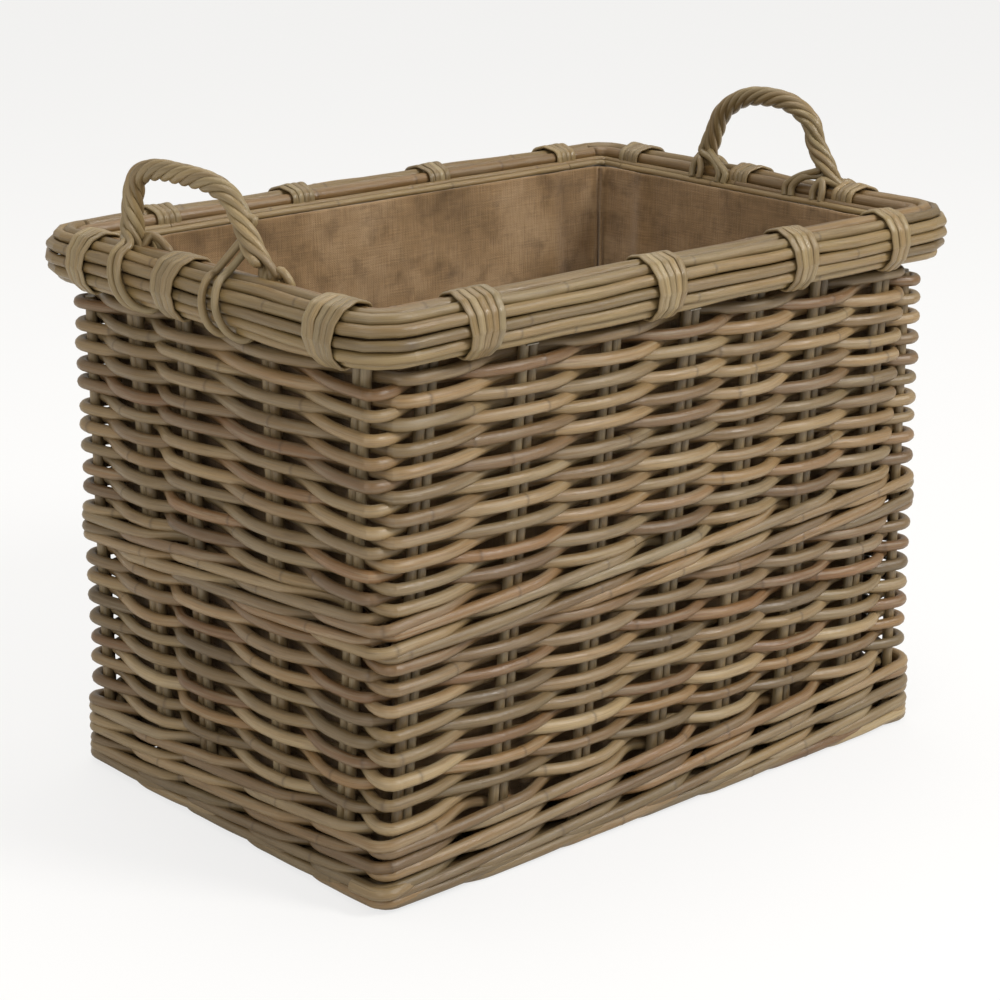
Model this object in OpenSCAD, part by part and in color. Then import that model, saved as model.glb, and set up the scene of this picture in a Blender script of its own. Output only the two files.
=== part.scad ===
// Rectangular rattan log basket with a rope-twisted handle on each short side and a hessian liner.
// Millimetres, +Z up, origin on the floor at the centre of the base, X along the basket.
// The wall follows the line of its upright stakes. An offset u is measured outward from that line.

/* [Basket] */
// Length between the stake rows of the two short sides
stake_l = 602; // [560:2:680]
// Width between the stake rows of the two long sides
stake_w = 402; // [360:2:460]
// Radius of a woven rod's bend round a corner, to the middle of the rod
bend_r = 14; // [14:0.5:16]

/* [Rods] */
// Diameter of the woven rods
weave_d = 8.8; // [7.5:0.1:9]
// Diameter of one upright stake
stake_d = 8.5; // [7:0.1:9]
// Diameter of the rods in the base wale and the middle wale
wale_d = 9; // [8:0.1:9]
// Distance from the stake line to the middle of a woven rod
weave_off = 9; // [8.9:0.1:9.5]
// Distance from the stake line to the middle of an outer rod of the base wale
base_off = 12; // [9:0.5:13]

/* [Courses] */
// Rows of the base wale
base_wale_rows = 6; // [4:1:6]
// Rows of the lower weave
lower_rows = 15; // [11:1:15]
// Rows of the middle wale
middle_rows = 4; // [2:1:4]
// Rows of the upper weave
upper_rows = 21; // [15:1:21]

/* [Base] */
// Height of the plaited foot border
foot_h = 9; // [8:0.5:9]
// Width of the plaited foot border
foot_w = 30; // [26:1:30]
// Diameter of the lengthwise base sticks
stick_d = 11; // [10:0.5:11]
// Number of lengthwise base sticks
stick_count = 9; // [7:1:11]
// Diameter of the rods woven across the base sticks
floor_d = 8.5; // [8:0.1:8.5]
// Spacing of the rods on each face of the base
floor_pitch = 18.6; // [18:0.1:24]

/* [Rim] */
// Height of the middle of the rim roll
rim_z = 462; // [461:0.5:468]
// Half width of the roll, to the middle of its rods
rim_a = 16; // [15.5:0.5:17]
// Half height of the roll, to the middle of its rods
rim_b = 19; // [18.5:0.5:19]
// Diameter of the rods of the roll
rim_d = 10.4; // [10:0.1:10.4]
// Diameter of the thick rod that caps the stakes
cap_d = 12.5; // [11:0.1:12.5]
// Diameter of the thin rod above the liner
ledge_d = 6.5; // [5:0.1:6.5]
// Thickness of a binding
binding_t = 1.6; // [1:0.1:1.6]

/* [Handles] */
// Thickness of the twisted handle
handle_d = 17; // [14:0.5:19]
// Height of the middle of the left handle's top
left_handle_z = 551; // [540:0.5:570]
// Height of the middle of the right handle's top
right_handle_z = 556.5; // [540:0.5:570]
// Half spread of the left handle's feet
left_spread = 90; // [80:1:94]
// Half spread of the right handle's feet
right_spread = 80; // [72:1:88]
// Middle of the left handle's feet along the short side
left_middle = 18; // [0:1:24]
// Middle of the right handle's feet along the short side
right_middle = -16; // [-30:1:10]
// Sideways lean of the left handle at its top
left_lean = 17; // [0:1:20]

/* [Liner] */
// Thickness of the hessian
cloth_t = 1.5; // [1:0.1:1.6]
// Height of the liner's top edge
liner_top = 464; // [450:1:464]
// Depth of the hem
hem_h = 24; // [15:1:30]

/* [Hidden] */
$fn = 32;

// Clearance between pieces that lie against each other
gap = 0.3;
// Gap where a straight run meets the bend at a corner
butt_gap = 0.1;
// Thickness of the web that joins the rods of one layer
web_t = 3;
// Turn of each side's outward direction from +X, and its distance from the middle
RIGHT = 0;
BACK = 90;
LEFT = 180;
FRONT = 270;
SIDES = [RIGHT, BACK, LEFT, FRONT];
half_l = stake_l / 2;
half_w = stake_w / 2;

// Rows: height of the first row, the pitch, and the count
wale_pitch = 9.2;
lower_pitch = 9.36;
middle_pitch = 9;
upper_pitch = 9.05;
base_wale_z = foot_h + butt_gap + wale_d / 2;
lower_z = base_wale_z + (base_wale_rows - 1) * wale_pitch + 11;
middle_z = lower_z + (lower_rows - 1) * lower_pitch + 9.4;
upper_z = middle_z + (middle_rows - 1) * middle_pitch + 9;
// The base wale has inner rods only above the floor
base_wale_first_inner = 2;

// Base
stick_z = 16;
floor_under_z = stick_z - (stick_d + floor_d) / 2 - 0.25;
floor_over_z = stick_z + (stick_d + floor_d) / 2 + 0.25;
stick_reach = half_l - stake_d / 2 - 1.75;
floor_reach = half_w - 14;
floor_count = 30;

// Stakes stand in pairs. Middles of the pairs at mid height, along each side's own direction
stake_step = 9.3;
stake_mid_z = 250;
stake_foot_z = foot_h + gap;
stake_top_z = rim_z + 8;
corner_stake_top_z = 430;
front_stakes = [-270, -169, -79, 9, 86, 164, 245];
front_lean = 0.085;
back_stakes = [-276, -172, -66, 20, 104, 168, 242];
left_stakes = [-112, -45, 66];
right_stakes = [-128, -30, 66];
// On the short sides the lean grows with the distance from the upright pair
short_side_fan = 0.00035;
upright_at = 66;
// The last pair of each short side leans toward the corner and stops below the rim
end_stake = 166;
end_stake_lean = 0.083;
// Pairs in the other two corners, as the turn that each pair faces
corner_stakes = [FRONT + 45, BACK + 45];

// Rim: the rods of the roll stand on an ellipse in the (u, z) plane
rim_u = 14.1;
rim_r = 10;
roll_turns = [for (i = [0:5]) 90 - 31 * i];
function roll_rod(turn) = [rim_u + rim_a * cos(turn), rim_z + rim_b * sin(turn), rim_d / 2];
cap_rod = [3, rim_z + 15.5, cap_d / 2];
ledge_rod = [-10.5, rim_z + 8, ledge_d / 2];
core_d = 8;
core_rods = [
  for (p = [[9.5, 7], [9.5, -2], [9.5, -11], [18.5, 2.5]]) [p[0], rim_z + p[1], core_d / 2]
];
// Least bend radius of a rod of the rim
rim_least_r = 8;
rim_rods = concat([cap_rod, ledge_rod], [for (t = roll_turns) roll_rod(t)]);
// A binding is drawn tight round these circles: the roll, the cap rod and the stakes
stake_pass = [0, rim_z - 12.8, stake_d / 2 + gap];
bound = concat([cap_rod, stake_pass], [for (t = roll_turns) roll_rod(t)]);
// Bindings on each side, as the middle along the side and the width
front_bindings = [[-225, 30], [-32, 28], [124, 24], [242, 20]];
back_bindings = [[-250, 24], [-90, 24], [69, 24], [214, 24]];
left_bindings = [[-155, 22], [-29, 26], [174, 32]];
right_bindings = [[-119, 24], [10, 24], [158, 26]];

// Handles
handle_u = 6;
handle_foot_z = rim_z + 25.5;
handle_rings = 28;
handle_sides = 12;
handle_power = 2.5;
lashing_w = 11;
// Where the ends of each handle cross the rim, along its side
left_lashings = [-96, 17.5, 45];
right_lashings = [-90, -55, 48];

// Liner
liner_u = -weave_off - weave_d / 2 - gap - 0.2;
liner_r = bend_r - weave_d / 2 - 0.6;
floor_cloth_z = floor_over_z + floor_d / 2 + gap;

// Wire pins across three of the front stake pairs, just under the roll
pin_d = 1.6;
pin_l = 12;
pin_z = upper_z + (upper_rows - 1) * upper_pitch + weave_d / 2 + pin_d / 2 + gap;
pinned = [1, 2, 3];

cane = "#9b8560";
cane_dark = "#7d6a4b";
cane_grey = "#948a78";
cane_pale = "#b09a72";
hessian = "#7a624a";
wire = "#a8a49c";

function side_half(side) = (side == LEFT || side == RIGHT) ? half_l : half_w;
function side_run(side) = (side == LEFT || side == RIGHT) ? half_w : half_l;

// Children drawn with +X outward from the stake line and +Y along the side
module on_side(side, along = 0) {
  rotate([0, 0, side]) translate([side_half(side), along, 0]) children();
}

// Quadrants count anticlockwise from the +X +Y corner
module at_corner_centre(quadrant, r) {
  x = (quadrant == 0 || quadrant == 3) ? 1 : -1;
  y = (quadrant == 0 || quadrant == 1) ? 1 : -1;
  translate([x * (half_l - r), y * (half_w - r), 0]) children();
}

module rod_between(a, b, d) {
  v = b - a;
  l = norm(v);
  translate(a) rotate([0, acos(v[2] / l), atan2(v[1], v[0])]) cylinder(h = l, d = d);
}

// The (u, z) profile given as children, run straight along a side between corners of radius r
module side_run_of(side, r) {
  on_side(side)
    rotate([90, 0, 0]) linear_extrude(2 * (side_run(side) - r) - butt_gap, center = true) children();
}

// The same profile bent round the four corners
module corner_bends_of(r) {
  for (quadrant = [0:3])
    at_corner_centre(quadrant, r)
      rotate([0, 0, 90 * quadrant]) rotate_extrude(angle = 90) translate([r, 0]) children();
}

// A rod's profile at offset u and height z
module rod_section(c) {
  translate([c[0], c[1]]) circle(r = c[2]);
}

// Rods one above another at offset u, joined through their middles into one corrugated sheet
module layer_section(layer) {
  u = layer[0];
  z0 = layer[1];
  pitch = layer[2];
  rows = layer[3];
  for (i = [0:rows - 1])
    rod_section([u, z0 + i * pitch, layer[4] / 2]);
  translate([u - web_t / 2, z0]) square([web_t, (rows - 1) * pitch]);
}

// A band of the wall is a list of layers. Each layer keeps the same bend radius at the corners
module band_run(side, layers) {
  for (layer = layers) side_run_of(side, bend_r - layer[0]) layer_section(layer);
}

module band_bends(layers) {
  for (layer = layers) corner_bends_of(bend_r - layer[0]) layer_section(layer);
}

// A pair of stakes on a side. lean is the sideways travel for each millimetre of height
module stake_pair(side, middle, lean, top_z = stake_top_z) {
  foot = max(-side_run(side), middle + lean * (stake_foot_z - stake_mid_z));
  top = middle + lean * (top_z - stake_mid_z);
  for (k = [-0.5, 0.5])
    on_side(side)
      rod_between([0, foot + k * stake_step, stake_foot_z], [0, top + k * stake_step, top_z], stake_d);
}

module corner_stake_pair(turn) {
  for (k = [-0.5, 0.5])
    at_corner_centre(floor(turn / 90) % 4, bend_r - weave_off)
      rotate([0, 0, turn])
        translate([0, k * stake_step, stake_foot_z])
          cylinder(h = corner_stake_top_z - stake_foot_z, d = stake_d);
}

module rounded_rect(l, w, r) {
  square([l - 2 * r, w], center = true);
  square([l, w - 2 * r], center = true);
  for (x = [-1, 1], y = [-1, 1])
    translate([x * (l / 2 - r), y * (w / 2 - r)]) circle(r = r);
}

// Outline at offset u from the stake line, with corners of radius r
module outline(u, r) {
  rounded_rect(stake_l + 2 * u, stake_w + 2 * u, r);
}

module wall_ring(u_out, r_out, u_in, r_in, z, h) {
  translate([0, 0, z]) linear_extrude(h) difference() {
    outline(u_out, r_out);
    outline(u_in, r_in);
  }
}

// Tight loop round the bound circles: how far they reach at each turn, then where tangents cross
binding_step = 15;
function reach(turn) = max([for (c = bound) c[0] * cos(turn) + c[1] * sin(turn) + c[2]]);
function loop_point(turn, extra) =
  let (a = reach(turn) + extra, b = reach(turn + binding_step) + extra)
  [
    (a * sin(turn + binding_step) - b * sin(turn)) / sin(binding_step),
    (b * cos(turn) - a * cos(turn + binding_step)) / sin(binding_step)
  ];
function loop(extra) = [for (t = [0:binding_step:360 - binding_step]) loop_point(t, extra)];

module binding(width) {
  clear = 1;
  rotate([90, 0, 0]) linear_extrude(width, center = true) difference() {
    polygon(loop(clear + binding_t));
    polygon(loop(clear));
  }
}

// Arch of a handle in the (along, height) plane, as t runs from 0 at one foot to 180 at the other
function arch(spread, rise, lean, t) = let (h = pow(abs(sin(t)), 2 / handle_power)) [
  spread * sign(cos(t)) * pow(abs(cos(t)), 2 / handle_power) + lean * h,
  rise * h
];
function ring_point(c, tangent, r, a) = [
  r * cos(a),
  c[0] - tangent[1] * r * sin(a),
  c[1] + tangent[0] * r * sin(a)
];

module handle_arch(spread, rise, lean) {
  n = handle_sides;
  m = handle_rings;
  path = [for (i = [0:m]) arch(spread, rise, lean, 180 * i / m)];
  tangents = [for (i = [0:m]) let (v = path[min(i + 1, m)] - path[max(i - 1, 0)]) v / norm(v)];
  points = [
    for (i = [0:m], j = [0:n - 1]) ring_point(path[i], tangents[i], handle_d / 2, 360 * j / n)
  ];
  walls = [
    for (i = [0:m - 1], j = [0:n - 1])
      [i * n + j, i * n + (j + 1) % n, (i + 1) * n + (j + 1) % n, (i + 1) * n + j]
  ];
  caps = [[for (j = [n - 1:-1:0]) j], [for (j = [0:n - 1]) m * n + j]];
  translate([handle_u, 0, handle_foot_z]) polyhedron(points, concat(walls, caps), convexity = 4);
}

module foot_border() {
  outer = base_off + wale_d / 2;
  color(cane_dark) wall_ring(outer, bend_r + wale_d / 2, outer - foot_w, 6, 0, foot_h);
}

module base_sticks() {
  span = 2 * (half_w - 28);
  color(cane_grey)
    for (i = [0:stick_count - 1]) {
      y = -span / 2 + span * i / (stick_count - 1);
      rod_between([-stick_reach, y, stick_z], [stick_reach, y, stick_z], stick_d);
    }
}

// Rods across the base at height z, joined like a layer of the wall
module floor_rods(z, shift) {
  first = -(floor_count - 1) / 2 * floor_pitch + shift;
  translate([0, 0, z]) rotate([90, 0, 0]) linear_extrude(2 * floor_reach, center = true) {
    for (i = [0:floor_count - 1])
      rod_section([first + i * floor_pitch, 0, floor_d / 2]);
    translate([first, -web_t / 2]) square([(floor_count - 1) * floor_pitch, web_t]);
  }
}

module base_weave_under() {
  color(cane_dark) floor_rods(floor_under_z, -floor_pitch / 4);
}

module base_weave_over() {
  color(cane) floor_rods(floor_over_z, floor_pitch / 4);
}

module stakes_front() {
  color(cane_grey) for (s = front_stakes) stake_pair(FRONT, s, front_lean);
}

module stakes_back() {
  color(cane_grey) for (s = back_stakes) stake_pair(BACK, s, 0);
}

module stakes_left() {
  color(cane_grey) for (s = left_stakes) stake_pair(LEFT, s, short_side_fan * (s - upright_at));
}

module stakes_right() {
  color(cane_grey) for (s = right_stakes) stake_pair(RIGHT, s, short_side_fan * (s - upright_at));
}

module stakes_corners() {
  color(cane_grey) for (turn = corner_stakes) corner_stake_pair(turn);
  color(cane_grey) for (side = [LEFT, RIGHT])
    stake_pair(side, end_stake, end_stake_lean, corner_stake_top_z);
}

// Layers of each band, outer then inner: offset, height of the first row, pitch, rows and diameter
base_inner_z = base_wale_z + base_wale_first_inner * wale_pitch;
base_inner_rows = base_wale_rows - base_wale_first_inner;
base_wale_layers = [
  [base_off, base_wale_z, wale_pitch, base_wale_rows, wale_d],
  [-weave_off, base_inner_z, wale_pitch, base_inner_rows, wale_d]
];
function both_layers(z0, pitch, rows, d) = [for (u = [weave_off, -weave_off]) [u, z0, pitch, rows, d]];
lower_weave_layers = both_layers(lower_z, lower_pitch, lower_rows, weave_d);
middle_wale_layers = both_layers(middle_z, middle_pitch, middle_rows, wale_d);
upper_weave_layers = both_layers(upper_z, upper_pitch, upper_rows, weave_d);

module base_wale(side) { color(cane_dark) band_run(side, base_wale_layers); }
module lower_weave(side) { color(cane) band_run(side, lower_weave_layers); }
module middle_wale(side) { color(cane_dark) band_run(side, middle_wale_layers); }
module upper_weave(side) { color(cane) band_run(side, upper_weave_layers); }

module base_wale_front() { base_wale(FRONT); }
module base_wale_back() { base_wale(BACK); }
module base_wale_left() { base_wale(LEFT); }
module base_wale_right() { base_wale(RIGHT); }
module base_wale_corners() { color(cane_dark) band_bends(base_wale_layers); }
module lower_weave_front() { lower_weave(FRONT); }
module lower_weave_back() { lower_weave(BACK); }
module lower_weave_left() { lower_weave(LEFT); }
module lower_weave_right() { lower_weave(RIGHT); }
module lower_weave_corners() { color(cane) band_bends(lower_weave_layers); }
module middle_wale_front() { middle_wale(FRONT); }
module middle_wale_back() { middle_wale(BACK); }
module middle_wale_left() { middle_wale(LEFT); }
module middle_wale_right() { middle_wale(RIGHT); }
module middle_wale_corners() { color(cane_dark) band_bends(middle_wale_layers); }
module upper_weave_front() { upper_weave(FRONT); }
module upper_weave_back() { upper_weave(BACK); }
module upper_weave_left() { upper_weave(LEFT); }
module upper_weave_right() { upper_weave(RIGHT); }
module upper_weave_corners() { color(cane) band_bends(upper_weave_layers); }

// Radius of the rim's corner line for a rod at offset u
function rim_corner_r(u) = max(rim_r, rim_least_r - u);

module rim_rods_side(side) {
  color(cane_pale) for (c = rim_rods) side_run_of(side, rim_corner_r(c[0])) rod_section(c);
}

module rim_rods_front() { rim_rods_side(FRONT); }
module rim_rods_back() { rim_rods_side(BACK); }
module rim_rods_left() { rim_rods_side(LEFT); }
module rim_rods_right() { rim_rods_side(RIGHT); }

module rim_rods_corners() {
  color(cane_pale) for (c = rim_rods) corner_bends_of(rim_corner_r(c[0])) rod_section(c);
}

module rim_core_rods() {
  color(cane_dark) for (c = core_rods) {
    for (side = SIDES) side_run_of(side, rim_r) rod_section(c);
    corner_bends_of(rim_r) rod_section(c);
  }
}

module bindings_on(side, places) {
  color(cane_pale) for (p = places) on_side(side, p[0]) binding(p[1]);
}

module rim_bindings_front() { bindings_on(FRONT, front_bindings); }
module rim_bindings_back() { bindings_on(BACK, back_bindings); }
module rim_bindings_left() { bindings_on(LEFT, left_bindings); }
module rim_bindings_right() { bindings_on(RIGHT, right_bindings); }

module handle_left() {
  rise = left_handle_z - handle_foot_z;
  color(cane) on_side(LEFT, -left_middle) handle_arch(left_spread, rise, -left_lean);
}

module handle_right() {
  rise = right_handle_z - handle_foot_z;
  color(cane) on_side(RIGHT, right_middle) handle_arch(right_spread, rise, 0);
}

module handle_left_lashings() {
  color(cane_pale) for (s = left_lashings) on_side(LEFT, s) binding(lashing_w);
}

module handle_right_lashings() {
  color(cane_pale) for (s = right_lashings) on_side(RIGHT, s) binding(lashing_w);
}

module liner_walls() {
  inner = liner_u - cloth_t;
  h = liner_top - floor_cloth_z;
  color(hessian) wall_ring(liner_u, liner_r, inner, liner_r - cloth_t, floor_cloth_z, h);
}

module liner_floor() {
  inner = liner_u - cloth_t - gap;
  color(hessian) translate([0, 0, floor_cloth_z]) linear_extrude(cloth_t) outline(inner, 6);
}

module liner_hem() {
  u = liner_u - cloth_t - 0.2;
  r = liner_r - cloth_t - 0.2;
  color(hessian) wall_ring(u, r, u - 1, r - 1, liner_top - hem_h, hem_h);
}

module rim_pins() {
  u = (stake_d + pin_d) / 2 + gap;
  color(wire)
    for (i = pinned) {
      middle = front_stakes[i] + front_lean * (pin_z - stake_mid_z);
      on_side(FRONT, middle) rod_between([u, -pin_l / 2, pin_z], [u, pin_l / 2, pin_z], pin_d);
    }
}

foot_border();
base_sticks();
base_weave_under();
base_weave_over();
stakes_front();
stakes_back();
stakes_left();
stakes_right();
stakes_corners();
base_wale_front();
base_wale_back();
base_wale_left();
base_wale_right();
lower_weave_front();
lower_weave_back();
lower_weave_left();
lower_weave_right();
middle_wale_front();
middle_wale_back();
middle_wale_left();
middle_wale_right();
upper_weave_front();
upper_weave_back();
upper_weave_left();
upper_weave_right();
base_wale_corners();
lower_weave_corners();
middle_wale_corners();
upper_weave_corners();
rim_rods_front();
rim_rods_back();
rim_rods_left();
rim_rods_right();
rim_rods_corners();
rim_core_rods();
rim_bindings_front();
rim_bindings_back();
rim_bindings_left();
rim_bindings_right();
handle_left();
handle_right();
handle_left_lashings();
handle_right_lashings();
liner_walls();
liner_floor();
liner_hem();
rim_pins();
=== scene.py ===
"""Rectangular rattan log basket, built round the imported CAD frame. Lengths in this file are millimetres."""

import math

import bpy
import numpy as np
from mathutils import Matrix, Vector


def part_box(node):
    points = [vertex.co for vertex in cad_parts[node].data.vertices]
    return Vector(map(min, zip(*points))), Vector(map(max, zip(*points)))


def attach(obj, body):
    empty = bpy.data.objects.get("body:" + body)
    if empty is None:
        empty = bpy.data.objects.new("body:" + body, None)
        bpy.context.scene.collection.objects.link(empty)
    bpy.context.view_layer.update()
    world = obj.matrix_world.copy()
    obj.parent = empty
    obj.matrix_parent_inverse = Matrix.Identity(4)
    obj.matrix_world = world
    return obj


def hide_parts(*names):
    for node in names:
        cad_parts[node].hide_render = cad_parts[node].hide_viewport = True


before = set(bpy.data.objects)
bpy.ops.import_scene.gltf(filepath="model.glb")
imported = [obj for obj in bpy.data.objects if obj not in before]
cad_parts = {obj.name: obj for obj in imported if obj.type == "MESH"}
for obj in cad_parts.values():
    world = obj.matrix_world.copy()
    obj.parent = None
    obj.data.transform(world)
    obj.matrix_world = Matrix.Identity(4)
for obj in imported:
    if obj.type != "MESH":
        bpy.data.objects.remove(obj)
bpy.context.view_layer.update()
MM = 0.001


def box_mm(node):
    low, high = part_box(node)
    return np.array(low) / MM, np.array(high) / MM


def span(node, axis):
    low, high = box_mm(node)
    return low[axis], high[axis]


def middle(node, axis):
    return sum(span(node, axis)) / 2


# Sizes that follow the CAD, read from the frame where it gives them
STAKE_D = 8.5
STAKE_STEP = 9.3
WEAVE_D = 8.8
WALE_D = 9.0
BEND_R = 14.0
# Real woven rods are a little thicker than the pitch of their rows, and press into each other
ROD_D = 10.3
HALF_L = -middle("stakes_left", 0)
HALF_W = -middle("stakes_front", 1)
FOOT_TOP = span("foot_border", 2)[1]
STAKE_FOOT, STAKE_TOP = span("stakes_front", 2)
CORNER_STAKE_TOP = span("stakes_corners", 2)[1]
WEAVE_OFF = span("upper_weave_right", 0)[1] - HALF_L - WEAVE_D / 2
BASE_OFF = span("base_wale_right", 0)[1] - HALF_L - WALE_D / 2
CAP_TOP = span("rim_rods_front", 2)[1]
RIM_Z = STAKE_TOP - 8
STAKE_MID_Z = 250.0


def rows_of(node, count, d):
    low, high = span(node, 2)
    return np.linspace(low + d / 2, high - d / 2, count)


BASE_WALE_ROWS = rows_of("base_wale_front", 6, WALE_D)
LOWER_ROWS = rows_of("lower_weave_front", 15, WEAVE_D)
MIDDLE_WALE_ROWS = rows_of("middle_wale_front", 4, WALE_D)
UPPER_ROWS = rows_of("upper_weave_front", 21, WEAVE_D)


# ---------------------------------------------------------------- the line the walls follow


def wall_bend(u):
    """A woven rod bends round a corner at one radius, however far out it lies."""
    return np.full_like(u, BEND_R)


def rim_bend(u):
    return np.maximum(10 + u, 8)


def liner_bend(u):
    """The cloth hangs slack across the corners."""
    return np.maximum(27 + u, 6)


class Track:
    """A rounded rectangle walked anticlockwise from the near left end of the front face.
    bend(u) gives the radius of its corners at offset u."""

    END_ZONE = 45.0

    def __init__(self, bend):
        self.bend = bend
        self.r = r = float(bend(np.zeros(1))[0])
        self.half = np.array([HALF_L, HALF_W])
        quarter = math.pi * r / 2
        self.names = ["front", "corners", "right", "corners", "back", "corners", "left", "corners"]
        self.runs = np.array([HALF_L - r, 0, HALF_W - r, 0] * 2)
        self.reach = np.array([HALF_W, 0, HALF_L, 0] * 2)
        lengths = 2 * self.runs + np.array([0, quarter] * 4)
        self.ends = np.cumsum(lengths)
        self.starts = self.ends - lengths
        self.length = self.ends[-1]
        self.signs = np.array([(0, 0), (1, -1), (0, 0), (1, 1), (0, 0), (-1, 1), (0, 0), (-1, -1)])
        self.turns = np.array([-90, -90, 0, 0, 90, 90, 180, 180])

    def at(self, s, u, z):
        """Points at distance s along the line, offset u outward, height z; and the outward normals there."""
        s = np.mod(s, self.length)
        u = np.broadcast_to(u, s.shape).astype(float)
        z = np.broadcast_to(z, s.shape)
        part = np.minimum(np.searchsorted(self.ends, s, side="right"), 7)
        along = s - self.starts[part]
        bend = part % 2 == 1
        turn = np.radians(self.turns[part]) + np.where(bend, along / self.r, 0)
        out = np.stack([np.cos(turn), np.sin(turn)], 1)
        ahead = np.stack([-np.sin(turn), np.cos(turn)], 1)
        r = self.bend(u)
        side = along - self.runs[part]
        near = np.clip(1 - (self.runs[part] - np.abs(side)) / self.END_ZONE, 0, 1)
        side = side + np.sign(side) * (u - r + self.r) * near**2
        straight = out * (self.reach[part] + u)[:, None] + ahead * side[:, None]
        bent = self.signs[part] * (self.half[None] + (u - r)[:, None]) + out * r[:, None]
        flat = np.where(bend[:, None], bent, straight)
        return np.column_stack([flat, z]), np.column_stack([out, np.zeros(len(s))])

    def middle_of(self, part):
        return (self.starts[part] + self.ends[part]) / 2

    def cuts(self, s0, s1):
        """The places between s0 and s1 where one part of the line ends and the next begins."""
        laps = [self.ends + n * self.length for n in range(-1, int(s1 // self.length) + 1)]
        ends = np.concatenate(laps)
        return ends[(ends > s0 + 1e-6) & (ends < s1 - 1e-6)]

    def name_at(self, s):
        return self.names[int(np.searchsorted(self.ends, s % self.length, side="right")) % 8]


WALL = Track(wall_bend)
RIM = Track(rim_bend)
LINER = Track(liner_bend)
FRONT, RIGHT, BACK, LEFT = 0, 2, 4, 6

# Middles of the stake pairs on each side, along the walk, and how far they lean with height
LEAN_FRONT = 0.085
FAN = 0.00035
UPRIGHT = 66
FRONT_STAKES = [-270, -169, -79, 9, 86, 164, 245]
BACK_STAKES = [-276, -172, -66, 20, 104, 168, 242]
LEFT_STAKES = [-112, -45, 66]
RIGHT_STAKES = [-128, -30, 66]
# The last pair of each short side leans toward the corner
END_STAKE = 166
LEAN_END = 0.083
# The pairs in the other corners: the part of the line, and how far round the bend they face
CORNER_STAKES = [(1, 45), (5, 45)]


def stake_pairs():
    """(distance along the wall at mid height, lean, turn on a corner or None, height) of every pair."""
    pairs = [(FRONT, a, LEAN_FRONT, STAKE_TOP) for a in FRONT_STAKES]
    pairs += [(BACK, a, 0, STAKE_TOP) for a in BACK_STAKES]
    pairs += [(LEFT, a, FAN * (a - UPRIGHT), STAKE_TOP) for a in LEFT_STAKES]
    pairs += [(RIGHT, a, FAN * (a - UPRIGHT), STAKE_TOP) for a in RIGHT_STAKES]
    pairs += [(side, END_STAKE, LEAN_END, CORNER_STAKE_TOP + 12) for side in (LEFT, RIGHT)]
    pairs = [(WALL.middle_of(side) + a, lean, None, top) for side, a, lean, top in pairs]
    turned = [(WALL.starts[part] + BEND_R * math.radians(t), 0, t, CORNER_STAKE_TOP) for part, t in CORNER_STAKES]
    return sorted(pairs + turned, key=lambda pair: pair[0])


PAIRS = stake_pairs()
# A rod passes closer to a pair that stands in a corner
SNUG = np.array([1.0 if turn is None else 0.72 for _, _, turn, _ in PAIRS])


def stakes_at(z):
    return np.array([s + lean * (z - STAKE_MID_Z) for s, lean, _, _ in PAIRS])


# ---------------------------------------------------------------- rods gathered into meshes


def unit(v):
    return v / np.maximum(np.linalg.norm(v, axis=-1, keepdims=True), 1e-9)


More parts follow.
